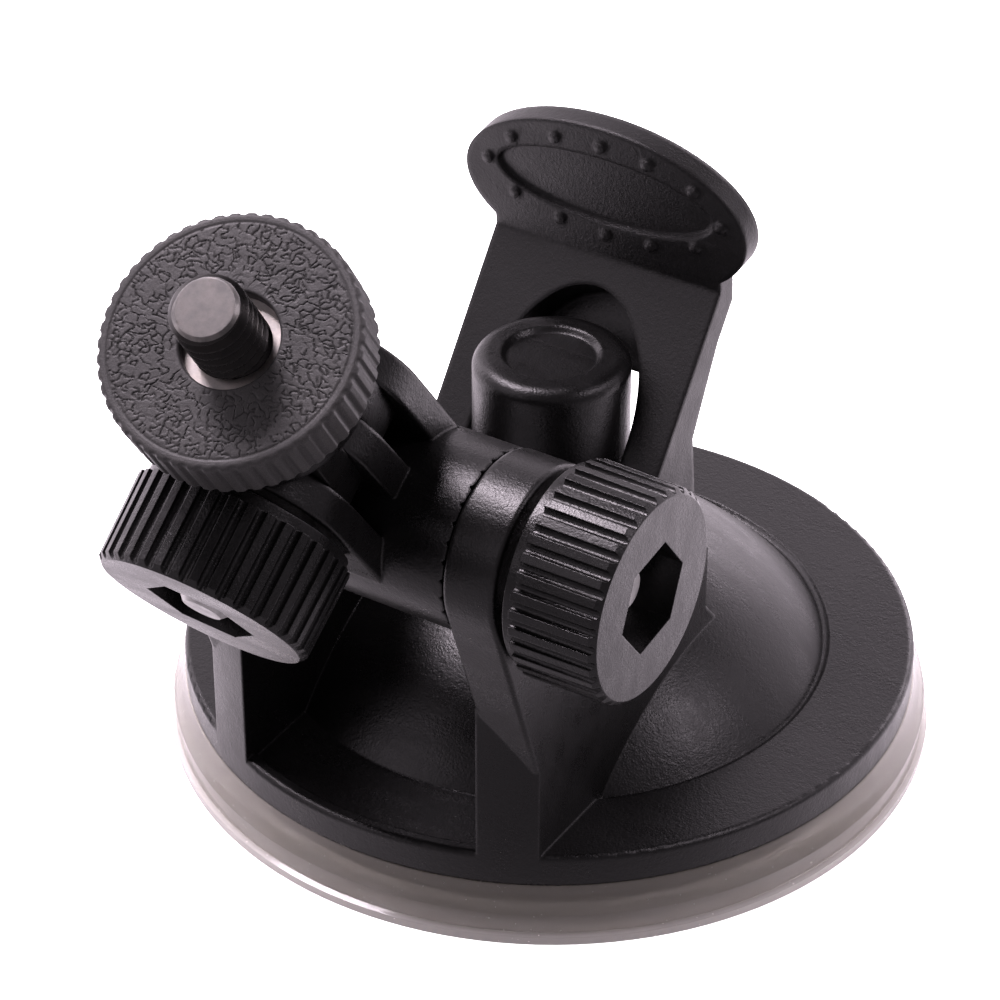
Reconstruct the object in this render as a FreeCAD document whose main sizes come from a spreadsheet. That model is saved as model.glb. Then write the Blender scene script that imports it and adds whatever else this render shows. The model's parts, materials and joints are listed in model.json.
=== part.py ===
import FreeCAD, Part
import math
import os
import re

import Sketcher

# Suction cup camera mount.
# Frame: origin in the middle of the plane the cup sticks to, +Z away from it,
# +X along the yoke's clamp bolt towards its knob, -Y to the side the arm leans to.

doc = FreeCAD.newDocument("suction_mount")

SIZES = {
    # suction cup
    "cup_radius": 36.2,
    "cup_lip": 0.8,
    "cup_lip_slope": 0.2,
    "cup_band_radius": 35.75,
    "cup_band_top": 2.9,
    "cup_shoulder_radius": 34.6,
    "cup_flat_radius": 33.5,
    "cup_hollow": 1.4,
    "cup_floor_top": 3.6,
    "cup_well_radius": 22.0,
    "cup_seat_radius": 25.8,
    # base housing
    "flange_radius": 34.5,
    "flange_bottom": 5.4,
    "flange_top": 8.5,
    "edge_round": 0.5,
    "ring_inner_radius": 26.6,
    "dome_foot_radius": 26.0,
    "dome_radius": 33.47,
    "dome_centre": -13.07,
    "valley_radius": 0.8,
    "bay_radius": 33.2,
    "bay_depth": 0.5,
    "shell_wall": 2.4,
    "post_radius": 7.25,
    "post_top": 39.0,
    "post_round": 1.4,
    "post_bore_radius": 4.5,
    "post_bore_top": 35.0,
    "post_tube_bottom": 12.5,
    "dish_radius": 4.1,
    "dish_depth": 0.5,
    # yoke
    "web_inner": 12.3,
    "web_thickness": 5.0,
    "eye_forward": 28.97,
    "eye_height": 39.84,
    "eye_radius": 8.3,
    "web_front_foot": 31.0,
    "web_front_height": 20.5,
    "web_front_lean": 19.2,
    "web_back_foot": 2.8,
    "web_back_height": 13.6,
    "web_round": 0.45,
    "foot_lap": 4.0,
    # gaps between mating faces, and how far tools and joined solids run over
    "fit_gap": 0.05,
    "press_gap": 0.01,
    "seat_gap": 0.02,
    "thread_gap": 0.06,
    "spare": 0.1,
    "overlap": 1.0,
    # clamp fasteners, M5
    "bolt_radius": 2.5,
    "bolt_head_flats": 8.0,
    "bolt_head_height": 1.6,
    "nut_flats": 8.0,
    "nut_height": 4.0,
    "nut_inset": 0.8,
    "bolt_chamfer": 0.8,
    "arm_bolt_depth": 2.2,
    "head_bolt_depth": 0.2,
    # clamp knobs
    "knob_radius": 9.55,
    "knob_taper": 0.15,
    "knob_length": 8.9,
    "knob_collar": 0.9,
    "knob_edge": 0.5,
    "rib_count": 36,
    "rib_height": 0.6,
    "knob_clear": 0.25,
    "rib_groove": 0.45,
    "pocket_flats": 8.5,
    "arm_knob_turn": 38.0,
    "head_knob_turn": 45.0,
    "arm_washer_height": 1.2,
    "head_washer_height": 0.8,
    "washer_radius": 5.0,
    # arm
    "arm_tilt": 36.68,
    "barrel_radius": 8.16,
    "pivot_rise": 14.1,
    "pivot_shift": -1.78,
    "finger_radius": 8.1,
    "finger_inner": 4.6,
    "finger_outer": 7.5,
    "middle_finger_half": 1.5,
    "finger_round": 0.3,
    "finger_clear": 0.9,
    "notch_count": 15,
    "notch_width": 0.4,
    # head
    "head_tilt": 6.23,
    "head_finger_radius": 6.9,
    "head_block_bottom": 8.45,
    "head_block_top": 13.35,
    "head_block_radius": 8.6,
    # tripod screw and lock disc
    "screw_radius": 3.175,
    "screw_tip_radius": 2.45,
    "screw_bottom": 9.2,
    "screw_tip": 24.87,
    "screw_pitch_radius": 2.76,
    "screw_head_flats": 11.0,
    "screw_head_height": 3.0,
    "disc_radius": 10.9,
    "disc_bottom": 13.47,
    "disc_face": 18.47,
    "disc_edge": 0.5,
    "disc_hole_radius": 4.1,
    "knurl_count": 50,
    "knurl_groove": 0.45,
    "knurl_depth": 0.2,
    "insert_radius": 4.65,
    "insert_top": 17.2,
    # lever
    "lever_half": 11.9,
    "lever_slot_half": 7.9,
    "pin_height": 23.9,
    "pin_radius": 1.5,
    "pin_travel": 1.3,
    "pin_half_length": 11.7,
    "lever_pin_gap": 0.06,
    "cam_radius": 4.7,
    "cam_offset": 1.3,
    "cheek_radius": 4.58,
    "cheek_back_inset": 0.7,
    "cheek_back_rise": 7.0,
    "cheek_back_share": 0.75,
    "cheek_pad_bottom": 14.0,
    "cheek_pad_top": 18.9,
    "cheek_room_height": 6.0,
    "cheek_gap": 0.3,
    "bend_back": 9.5,
    "bend_height": 44.2,
    "plate_lean": 36.87,
    "plate_thickness": 3.0,
    "arch_top": 2.8,
    "arch_height": 13.0,
    "arch_reach": 15.0,
    "hood_start": 1.0,
    "hood_lap": 1.0,
    "hood_end": 9.0,
    "hood_depth": 5.4,
    "hood_wall": 1.2,
    "post_room": 0.4,
    "post_room_top": 40.4,
    "tab_lean": 7.0,
    "tab_thickness": 2.3,
    "tab_half_width": 14.7,
    "tab_half_height": 8.2,
    "tab_centre": 5.9,
    "neck_height": 2.2,
    "bend_overlap": 0.2,
    "recess_half_width": 11.2,
    "recess_half_height": 3.6,
    "recess_centre": 7.3,
    "recess_depth": 0.5,
    "nub_radius": 0.5,
    "nub_height": 0.35,
    "nub_margin": 1.0,
    "nub_margin_up": 1.25,
    "nub_root": 0.3,
    # stem, plate and spring
    "stem_radius": 4.42,
    "stem_top": 28.5,
    "stem_spigot_radius": 2.0,
    "plate_radius": 11.0,
    "plate_bottom": 3.65,
    "plate_top": 5.0,
    "spring_washer_radius": 4.3,
    "spring_washer_height": 0.5,
    "spring_radius": 3.5,
    "spring_wire": 0.35,
    "spring_turns": 4.0,
}

sheet = doc.addObject("Spreadsheet::Sheet", "sizes")
for row, (alias, number) in enumerate(SIZES.items(), start=1):
    sheet.set(f"A{row}", alias)
    sheet.set(f"B{row}", str(number))
    sheet.setAlias(f"B{row}", alias)
doc.recompute()

NAME = re.compile(r"\b(" + "|".join(SIZES) + r")\b")


def formula(text):
    """A formula in plain size names, as an expression on the sheet."""
    return NAME.sub(r"sizes.\1", str(text))


def value(text):
    """The number that a formula gives."""
    result = sheet.evalExpression(formula(text))
    return float(getattr(result, "Value", result))


def bind(item, **formulas):
    """Tie properties of a document object to formulas in size names."""
    for name, text in formulas.items():
        item.setExpression(name, formula(text))
    return item


def place(item, base=(0, 0, 0), axis=(0, 0, 1), angle=0.0):
    """Put an object at a base given by three formulas, turned about an axis."""
    point = FreeCAD.Vector(*[value(text) for text in base])
    turn = FreeCAD.Rotation(FreeCAD.Vector(*axis), value(angle))
    item.Placement = FreeCAD.Placement(point, turn)
    for name, text in zip("xyz", base):
        item.setExpression(f"Placement.Base.{name}", formula(text))
    return item


ALONG_X = ((0, 1, 0), 90)
ALONG_Y = ((1, 0, 0), -90)


# ---------------------------------------------------------------- primitives


def cylinder(name, radius, height, base=(0, 0, 0), turn=((0, 0, 1), 0)):
    item = doc.addObject("Part::Cylinder", name)
    bind(item, Radius=radius, Height=height)
    return place(item, base, *turn)


def box(name, size, base):
    item = doc.addObject("Part::Box", name)
    bind(item, Length=size[0], Width=size[1], Height=size[2])
    return place(item, base)


def hexagon(name, flats, height, base=(0, 0, 0), turn=((0, 0, 1), 0)):
    item = doc.addObject("Part::Prism", name)
    item.Polygon = 6
    bind(item, Circumradius=f"({flats}) / sqrt(3)", Height=height)
    return place(item, base, *turn)


def fuse(name, parts):
    item = doc.addObject("Part::MultiFuse", name)
    item.Shapes = parts
    item.Refine = True
    return item


def common(name, parts):
    item = doc.addObject("Part::MultiCommon", name)
    item.Shapes = parts
    return item


def cut(name, base, tools):
    """Base less one or more tools."""
    tool = tools[0] if len(tools) == 1 else fuse(f"{name}_tools", tools)
    item = doc.addObject("Part::Cut", name)
    item.Base = base
    item.Tool = tool
    item.Refine = True
    return item


# ------------------------------------------------------- sketches and bodies


def new_body(name):
    body = doc.addObject("PartDesign::Body", name)
    body.Label = name
    return body


def plane_of(body, role):
    return next(item for item in body.Origin.OriginFeatures if item.Role == role)


def new_sketch(body, name, role, offset=None):
    sketch = body.newObject("Sketcher::SketchObject", name)
    sketch.AttachmentSupport = (plane_of(body, role), [""])
    sketch.MapMode = "FlatFace"
    if offset is not None:
        sketch.setExpression("AttachmentOffset.Base.z", formula(offset))
    return sketch


def pin_point(sketch, curve, end, across, up):
    """Hold one end of a curve at two formulas from the sketch's origin."""
    for kind, text in (("DistanceX", across), ("DistanceY", up)):
        number = sketch.addConstraint(
            Sketcher.Constraint(kind, -1, 1, curve, end, value(text))
        )
        sketch.setExpression(f"Constraints[{number}]", formula(text))


def arc_between(start, finish, radius, side):
    """Arc from start to finish, centred left (+1) or right (-1) of the chord."""
    chord = finish - start
    middle = (start + finish) * 0.5
    across = FreeCAD.Vector(-chord.y, chord.x, 0).normalize()
    reach = math.sqrt(max(radius**2 - (chord.Length / 2) ** 2, 0.0))
    centre = middle + across * (side * reach)
    bulge = centre - across * (side * radius)
    return Part.Arc(start, bulge, finish)


def outline(sketch, corners):
    """Closed loop through the corners. A corner is (across, up), or
    (across, up, radius, side) where the stretch that ends there is an arc."""
    points = [FreeCAD.Vector(value(c[0]), value(c[1]), 0) for c in corners]
    for index, corner in enumerate(corners):
        start, finish = points[index - 1], points[index]
        if len(corner) == 2:
            curve = sketch.addGeometry(Part.LineSegment(start, finish))
            end = 2
        else:
            arc = arc_between(start, finish, value(corner[2]), corner[3])
            curve = sketch.addGeometry(arc)
            end = 2 if corner[3] > 0 else 1
            radius = sketch.addConstraint(
                Sketcher.Constraint("Radius", curve, value(corner[2]))
            )
            sketch.setExpression(f"Constraints[{radius}]", formula(corner[2]))
        pin_point(sketch, curve, end, corner[0], corner[1])
        before = corners[index - 1]
        pin_point(sketch, curve, 3 - end, before[0], before[1])


def turned(name, corners):
    """Body turned about Z from an outline of (radius, height) corners."""
    body = new_body(name)
    sketch = new_sketch(body, f"{name}_section", "XZ_Plane")
    outline(sketch, corners)
    turning = body.newObject("PartDesign::Revolution", f"{name}_turning")
    turning.Profile = sketch
    turning.ReferenceAxis = (sketch, ["V_Axis"])
    turning.Angle = 360
    return body


def padded(name, role, corners, length, offset=None):
    """Body padded from an outline on one of its origin planes."""
    body = new_body(name)
    sketch = new_sketch(body, f"{name}_section", role, offset)
    outline(sketch, corners)
    pad = body.newObject("PartDesign::Pad", f"{name}_pad")
    pad.Profile = sketch
    bind(pad, Length=length)
    return body


def rounded(body, radius):
    """Round every edge of a padded body."""
    doc.recompute()
    pad = body.Tip
    fillet = body.newObject("PartDesign::Fillet", f"{body.Name}_round")
    fillet.Base = (pad, [f"Edge{n + 1}" for n in range(len(pad.Shape.Edges))])
    bind(fillet, Radius=radius)
    return body


def groove_round(body, radius, distance, count, start, length):
    """Cut round-bottomed grooves along Z, evenly about the axis."""
    sketch = new_sketch(body, f"{body.Name}_groove_section", "XY_Plane", start)
    curve = sketch.addGeometry(
        Part.Circle(FreeCAD.Vector(value(distance), 0, 0), FreeCAD.Vector(0, 0, 1), value(radius))
    )
    size = sketch.addConstraint(Sketcher.Constraint("Radius", curve, value(radius)))
    sketch.setExpression(f"Constraints[{size}]", formula(radius))
    pin_point(sketch, curve, 3, distance, "0")
    groove = body.newObject("PartDesign::Pocket", f"{body.Name}_groove")
    groove.Profile = sketch
    groove.Reversed = True
    bind(groove, Length=length)
    pattern = body.newObject("PartDesign::PolarPattern", f"{body.Name}_grooves")
    pattern.Originals = [groove]
    pattern.Axis = (sketch, ["N_Axis"])
    pattern.Angle = 360
    bind(pattern, Occurrences=count)
    body.Tip = pattern


# -------------------------------------------------------------- frames


def frame(base, axis, angle):
    return FreeCAD.Placement(
        FreeCAD.Vector(*base), FreeCAD.Rotation(FreeCAD.Vector(*axis), angle)
    )


# The arm's frame: on the yoke's bolt axis, +Z up the arm, -Y to the head knob.
ARM = frame((0, -value("eye_forward"), value("eye_height")), (1, 0, 0), value("arm_tilt"))
# The pivot's frame: on the head joint's bolt axis, turned with the arm.
PIVOT = ARM * frame((value("pivot_shift"), 0, value("pivot_rise")), (0, 0, 1), 0)
# The head's frame: on the same axis, +Z along the tripod screw.
HEAD = PIVOT * frame((0, 0, 0), (0, 1, 0), value("head_tilt"))
# The clamp knobs stand on these, +Z out of the knob's face.
YOKE_KNOB = frame(
    (value("web_inner + web_thickness + arm_washer_height + 2 * fit_gap"),
     -value("eye_forward"), value("eye_height")), (0, 1, 0), 90)
HEAD_KNOB = PIVOT * frame(
    (0, -value("finger_outer + head_washer_height + 2 * fit_gap"), 0), (1, 0, 0), 90)

nodes = []


def node(item, label, placement=None):
    """Name a finished sub-part and, where given, carry it to its frame."""
    item.Label = label
    if placement is not None:
        item.Placement = placement * item.Placement
    nodes.append(item)
    return item


# -------------------------------------------------------------- suction cup


def make_suction_cup():
    cup = turned("suction_cup", [
        ("0", "cup_hollow"),
        ("cup_well_radius", "cup_hollow"),
        ("cup_flat_radius", "0"),
        ("cup_radius", "0"),
        ("cup_radius", "cup_lip"),
        ("cup_band_radius", "cup_lip + cup_lip_slope"),
        ("cup_band_radius", "cup_band_top"),
        ("cup_shoulder_radius", "flange_bottom - fit_gap", "2 * cup_band_top", -1),
        ("cup_seat_radius", "flange_bottom - fit_gap"),
        ("cup_well_radius", "cup_floor_top"),
        ("0", "cup_floor_top"),
    ])
    node(cup, "suction_cup")


# -------------------------------------------------------------- base housing


def make_dome_shell():
    """Flange, dome and centre post, without the cavity below."""
    def dome_at(radius):
        return f"dome_centre + sqrt(dome_radius^2 - {radius}^2)"

    return turned("dome_shell", [
        ("0", "flange_bottom"),
        ("flange_radius", "flange_bottom"),
        ("flange_radius", "flange_top - edge_round"),
        ("flange_radius - edge_round", "flange_top", "edge_round", 1),
        ("ring_inner_radius", "flange_top"),
        ("dome_foot_radius", dome_at("dome_foot_radius"), "valley_radius", -1),
        ("post_radius", dome_at("post_radius"), "dome_radius", 1),
        ("post_radius", "post_top - post_round"),
        ("post_radius - post_round", "post_top", "post_round", 1),
        ("dish_radius + dish_depth", "post_top"),
        ("dish_radius", "post_top - dish_depth"),
        ("0", "post_top - dish_depth"),
    ])


def make_cavity():
    """Hollow under the dome, round the post's tube."""
    inner = "(dome_radius - shell_wall)"
    mouth = "flange_bottom - overlap"
    return turned("cavity", [
        ("post_radius", "post_tube_bottom"),
        ("0", "post_tube_bottom"),
        ("0", mouth),
        (f"sqrt({inner}^2 - ({mouth} - dome_centre)^2)", mouth),
        ("post_radius", f"dome_centre + sqrt({inner}^2 - post_radius^2)", inner, 1),
    ])


def make_webs():
    """The yoke's two plates. Above the foot the front leans out from the
    flange's own outer face and runs into the eye, and the back does too."""
    webs = []
    steep = "web_front_lean"
    run = "sqrt((web_back_foot + eye_forward)^2 + (eye_height - web_back_height)^2)"
    fall = (
        "atan((eye_height - web_back_height) / (web_back_foot + eye_forward))"
        f" + asin(eye_radius / {run})"
    )
    front_low = "(web_front_height - flange_bottom)"
    for side, inner in (("left", "-web_inner - web_thickness"), ("right", "web_inner")):
        webs.append(rounded(padded(f"web_{side}", "YZ_Plane", [
            (f"-web_front_foot + {front_low} * tan({steep})", "flange_bottom"),
            (f"-eye_forward - eye_radius * cos({steep})",
             f"eye_height - eye_radius * sin({steep})"),
            (f"-eye_forward + eye_radius * sin({fall})",
             f"eye_height + eye_radius * cos({fall})", "eye_radius", -1),
            ("web_back_foot", "web_back_height"),
            ("web_back_foot", "flange_bottom"),
        ], "web_thickness", inner), "web_round"))
        foot = box(f"foot_{side}",
                   ("web_thickness", "flange_radius",
                    "web_front_height + foot_lap - flange_bottom"),
                   (inner, "-flange_radius - overlap", "flange_bottom"))
        rim = cylinder(f"rim_{side}", "flange_radius", "post_top", ("0", "0", "0"))
        webs.append(common(f"foot_{side}_round", [foot, rim]))
    return webs


def make_base_housing():
    pads = []
    for side, corner in (("left", "-lever_half - cheek_gap"), ("right", "post_radius - overlap")):
        pads.append(box(f"cheek_pad_{side}",
                        ("lever_half + cheek_gap + overlap - post_radius", "2 * cam_radius",
                         "cheek_pad_top - cheek_pad_bottom"),
                        (corner, "-cam_radius", "cheek_pad_bottom")))
    solid = fuse("base_solid", [make_dome_shell()] + make_webs() + pads)
    cheek_room = [
        box(f"cheek_room_{side}",
            ("lever_half + cheek_gap - post_radius", "4 * cam_radius", "cheek_room_height"),
            (corner, "-2 * cam_radius", "cheek_pad_top"))
        for side, corner in (("left", "-lever_half - cheek_gap"), ("right", "post_radius"))
    ]
    bay = common("bay", [
        cut("bay_ring",
            cylinder("bay_outer", "bay_radius", "bay_depth + spare",
                     ("0", "0", "flange_top - bay_depth")),
            [cylinder("bay_inner", "dome_foot_radius", "2 * flange_top", ("0", "0", "0"))]),
        box("bay_span", ("2 * web_inner", "flange_radius", "post_top"),
            ("-web_inner", "-flange_radius", "0")),
    ])
    bore = cylinder("post_bore", "post_bore_radius", "post_bore_top", ("0", "0", "0"))
    slot = box("pin_slot", ("4 * post_radius", "2 * (pin_radius + fit_gap)", "pin_travel + spare"),
               ("-2 * post_radius", "-pin_radius - fit_gap", "pin_height"))
    slot_ends = [
        cylinder(f"pin_slot_{name}", "pin_radius + fit_gap", "4 * post_radius",
                 ("-2 * post_radius", "0", height), ALONG_X)
        for name, height in (("low", "pin_height"), ("high", "pin_height + pin_travel + spare"))
    ]
    axle = cylinder("eye_bore", "bolt_radius + fit_gap", "4 * web_inner",
                    ("-2 * web_inner", "-eye_forward", "eye_height"), ALONG_X)
    recess = hexagon("bolt_recess", "bolt_head_flats + 2 * fit_gap", "bolt_head_height",
                     ("-web_inner - web_thickness", "-eye_forward", "eye_height"), ALONG_X)
    housing = cut("base_housing", solid,
                  [make_cavity(), bay, bore, slot, axle, recess] + slot_ends + cheek_room)
    node(housing, "base_housing")


# -------------------------------------------------------------- stem and spring


def make_stem():
    stem = fuse("stem_solid", [
        cylinder("stem_shank", "stem_radius", "stem_top - plate_top", ("0", "0", "plate_top")),
        cylinder("stem_spigot", "stem_spigot_radius", "plate_top - plate_bottom",
                 ("0", "0", "plate_bottom")),
    ])
    hole = cylinder("stem_hole", "pin_radius + press_gap", "4 * stem_radius",
                    ("-2 * stem_radius", "0", "pin_height"), ALONG_X)
    node(cut("pull_stem", stem, [hole]), "pull_stem")

    plate = cylinder("plate_disc", "plate_radius", "plate_top - plate_bottom",
                     ("0", "0", "plate_bottom"))
    bore = cylinder("plate_bore", "stem_spigot_radius + press_gap", "plate_top",
                    ("0", "0", "0"))
    node(cut("stem_plate", plate, [bore]), "stem_plate")

    node(cylinder("lever_pin", "pin_radius", "2 * pin_half_length",
                  ("-pin_half_length", "0", "pin_height"), ALONG_X), "lever_pin")

    washer = cylinder("washer_disc", "spring_washer_radius", "spring_washer_height",
                      ("0", "0", "stem_top"))
    centre = cylinder("washer_hole", "spring_washer_radius / 2", "stem_top", ("0", "0", "plate_top"))
    node(cut("spring_washer", washer, [centre]), "spring_washer")


def make_spring():
    """Coil between the washer and the top of the post's bore."""
    wire = value("spring_wire")
    bottom = value("stem_top + spring_washer_height + spring_wire + seat_gap")
    top = value("post_bore_top - spring_wire - seat_gap")
    pitch = (top - bottom) / value("spring_turns")
    radius = value("spring_radius")
    path = Part.makeHelix(pitch, top - bottom, radius)
    corners = [
        FreeCAD.Vector(radius + wire * math.cos(math.radians(45 * n)), 0,
                       wire * math.sin(math.radians(45 * n)))
        for n in range(9)
    ]
    section = Part.makePolygon(corners)
    coil = Part.Wire(path.Edges).makePipeShell([section], True, True)
    spring = doc.addObject("Part::Feature", "return_spring")
    spring.Shape = coil
    spring.Placement = FreeCAD.Placement(FreeCAD.Vector(0, 0, bottom), FreeCAD.Rotation())
    node(spring, "return_spring")


# -------------------------------------------------------------- lever


def ellipse_slab(name, half_width, half_height, thickness, placement):
    """Oval plate, lying in XY before it is placed, thick along +Z."""
    oval = doc.addObject("Part::Ellipse", f"{name}_oval")
    bind(oval, MajorRadius=half_width, MinorRadius=half_height)
    slab = doc.addObject("Part::Extrusion", name)
    slab.Base = oval
    slab.DirMode = "Custom"
    slab.Dir = FreeCAD.Vector(0, 0, 1)
    slab.Solid = True
    bind(slab, LengthFwd=thickness)
    slab.Placement = placement
    return slab


def tab_box(name, width, height, proud, tab_plane):
    """Block in the tab's plane, middled on it and reaching just below the bend,
    as thick as the tab and proud of both its faces."""
    item = doc.addObject("Part::Box", name)
    bind(item, Length=width, Width=f"{height} + bend_overlap",
         Height=f"tab_thickness + 2 * {proud}")
    corner = FreeCAD.Vector(-value(width) / 2, -value("bend_overlap"),
                            -value("tab_thickness") - proud)
    item.Placement = tab_plane * FreeCAD.Placement(corner, FreeCAD.Rotation())
    return item


def make_lever():
    """Fork round the post, plate above it and oval thumb tab on top."""
    down_y, down_z = "sin(plate_lean)", "cos(plate_lean)"
    cheeks = []
    for side, start in (("left", "-lever_half"), ("right", "lever_slot_half")):
        width = "lever_half - lever_slot_half"
        cheeks.append(padded(f"cheek_{side}", "YZ_Plane", [
            ("bend_back", "bend_height"),
            (f"-cheek_radius * {down_z}", f"pin_height + cheek_radius * {down_y}"),
            ("0", "pin_height - cheek_radius", "cheek_radius", 1),
            ("cam_offset", "pin_height - cam_radius"),
            ("cam_offset + cam_radius", "pin_height", "cam_radius", 1),
            ("cam_offset + cam_radius - cheek_back_inset", "pin_height + cheek_back_rise"),
            (f"bend_back + plate_thickness * {down_z} * cheek_back_share",
             f"bend_height - plate_thickness * {down_y} * cheek_back_share"),
        ], width, start))

    plate_end = "(arch_top + arch_height)"
    plate = padded("lever_plate", "YZ_Plane", [
        ("bend_back", "bend_height"),
        (f"bend_back - {plate_end} * {down_y}", f"bend_height - {plate_end} * {down_z}"),
        (f"bend_back - {plate_end} * {down_y} + plate_thickness * {down_z}",
         f"bend_height - {plate_end} * {down_z} - plate_thickness * {down_y}"),
        (f"bend_back + plate_thickness * {down_z}",
         f"bend_height - plate_thickness * {down_y}"),
        ("bend_back + tab_thickness", "bend_height"),
    ], "2 * lever_half", "-lever_half")

    bend = FreeCAD.Vector(0, value("bend_back"), value("bend_height"))
    # Slabs lie in the tab's own plane: X across, Y up the tab, Z out of its front.
    tab_plane = FreeCAD.Placement(bend, FreeCAD.Rotation(
        FreeCAD.Vector(1, 0, 0), 90 + value("tab_lean")))
    plate_plane = FreeCAD.Placement(bend, FreeCAD.Rotation(
        FreeCAD.Vector(1, 0, 0), 90 - value("plate_lean")))

    def on_tab(up, out):
        return tab_plane * FreeCAD.Placement(
            FreeCAD.Vector(0, value(up), value(out)), FreeCAD.Rotation())

    tab_oval = ellipse_slab("tab_oval_slab", "tab_half_width", "tab_half_height",
                            "tab_thickness", on_tab("tab_centre", "-tab_thickness"))
    # The oval ends at the bend, where a neck as wide as the plate takes over.
    keep = tab_box("tab_keep", "2 * tab_half_width + 2", "3 * tab_half_height", 1, tab_plane)
    tab = common("tab_upper", [tab_oval, keep])
    neck = tab_box("tab_neck", "2 * lever_half", "neck_height", 0, tab_plane)

    nubs = []
    nub_path = (value("recess_half_width + nub_margin"),
                value("recess_half_height + nub_margin_up"))
    # Shares of the path's half width, so that the nubs are evenly spaced.
    for share in (0.0, 0.393, 0.779, 1.0):
        height = nub_path[1] * math.sqrt(1 - share**2)
        for across in {share, -share}:
            for up in {height, -height}:
                nub = doc.addObject("Part::Cylinder", "nub")
                bind(nub, Radius="nub_radius", Height="nub_height + nub_root")
                nub.Placement = tab_plane * frame(
                    (across * nub_path[0], value("recess_centre") + up, -value("nub_root")),
                    (0, 0, 1), 0)
                nubs.append(nub)

    upright = FreeCAD.Rotation(FreeCAD.Vector(0, 0, 1), 90)
    arch_centre = plate_plane * FreeCAD.Placement(
        FreeCAD.Vector(0, -value("arch_top + arch_height"), 0), upright)
    arch = ellipse_slab("lever_arch", "arch_height", "lever_slot_half", "2 * arch_reach",
                        arch_centre * frame((0, 0, -value("arch_reach")), (0, 0, 1), 0))
    recess = ellipse_slab("tab_recess", "recess_half_width", "recess_half_height",
                          "2 * recess_depth", on_tab("recess_centre", "-recess_depth"))
    hole = cylinder("lever_hole", "pin_radius + lever_pin_gap", "4 * lever_half",
                    ("-2 * lever_half", "0", "pin_height"), ALONG_X)
    solid = fuse("lever_solid", cheeks + [plate, tab, neck])
    carved = cut("lever_carved", solid, [arch, recess, hole])

    def behind(down, depth):
        """Corner at a distance down the plate and a depth behind its front."""
        return (f"bend_back - ({down}) * {down_y} + ({depth}) * {down_z}",
                f"bend_height - ({down}) * {down_z} - ({depth}) * {down_y}")

    hood_form = padded("hood_form", "YZ_Plane", [
        behind("hood_start", "plate_thickness - hood_lap"),
        behind("hood_start", "hood_depth"),
        behind("hood_end", "hood_depth"),
        behind("hood_end", "plate_thickness - hood_lap"),
    ], "2 * lever_slot_half + 2 * hood_wall", "-lever_slot_half - hood_wall")
    tunnel = ellipse_slab("hood_tunnel", "arch_height", "lever_slot_half",
                          "hood_depth - hood_wall + arch_reach",
                          arch_centre * frame((0, 0, value("hood_wall - hood_depth")),
                                              (0, 0, 1), 0))
    post_room = cylinder("hood_post_room", "post_radius + post_room", "post_room_top",
                         ("0", "0", "0"))
    hood = cut("lever_hood", hood_form, [tunnel, post_room])
    node(fuse("lever", [carved, hood] + nubs), "lever")


# -------------------------------------------------------------- arm


def make_arm():
    """Cross barrel with three fingers, in the arm's frame."""
    reach = "web_inner - fit_gap"
    parts = [cylinder("arm_barrel", "barrel_radius", f"2 * ({reach})",
                      (f"-({reach})", "0", "0"), ALONG_X)]
    plates = {
        "front": ("finger_inner", "finger_outer - finger_inner"),
        "middle": ("-middle_finger_half", "2 * middle_finger_half"),
        "back": ("-finger_outer", "finger_outer - finger_inner"),
    }
    for name, (start, width) in plates.items():
        finger = padded(f"finger_{name}", "XZ_Plane", [
            ("pivot_shift - finger_radius", "0"),
            ("pivot_shift + finger_radius", "0"),
            ("pivot_shift + finger_radius", "pivot_rise"),
            ("pivot_shift", "pivot_rise + finger_radius", "finger_radius", 1),
            ("pivot_shift - finger_radius", "pivot_rise", "finger_radius", 1),
        ], width, start)
        parts.append(rounded(finger, "finger_round"))
    room = [
        cylinder(f"finger_room_{name}", "head_finger_radius + finger_clear", width,
                 ("pivot_shift", start, "pivot_rise"), ALONG_Y)
        for name, start, width in (
            ("front", "-finger_inner", "finger_inner - middle_finger_half"),
            ("back", "middle_finger_half", "finger_inner - middle_finger_half"),
        )
    ]
    notches = []
    for side, end in (("left", f"-({reach})"), ("right", reach)):
        for turn in range(int(value("notch_count"))):
            notch = doc.addObject("Part::Box", f"notch_{side}")
            bind(notch, Length="notch_width", Width="notch_width", Height="4 * barrel_radius")
            about = FreeCAD.Rotation(FreeCAD.Vector(1, 0, 0), 180.0 * turn / value("notch_count"))
            corner = FreeCAD.Rotation(FreeCAD.Vector(0, 0, 1), 45)
            reach_down = FreeCAD.Vector(0, -value("notch_width") / math.sqrt(2),
                                        -2 * value("barrel_radius"))
            notch.Placement = FreeCAD.Placement(
                FreeCAD.Vector(value(end), 0, 0) + about.multVec(reach_down), about * corner)
            notches.append(notch)
    bore = cylinder("arm_bore", "bolt_radius + fit_gap", "4 * web_inner",
                    ("-2 * web_inner", "0", "0"), ALONG_X)
    pivot = cylinder("pivot_bore", "bolt_radius + fit_gap", "4 * finger_outer",
                     ("pivot_shift", "-2 * finger_outer", "pivot_rise"), ALONG_Y)
    recess = hexagon("pivot_recess", "bolt_head_flats + 2 * fit_gap", "bolt_head_height + 1",
                     ("pivot_shift", "finger_outer - bolt_head_height", "pivot_rise"), ALONG_Y)
    arm = cut("arm", fuse("arm_solid", parts), room + notches + [bore, pivot, recess])
    node(arm, "arm", ARM)


# -------------------------------------------------------------- head


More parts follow.
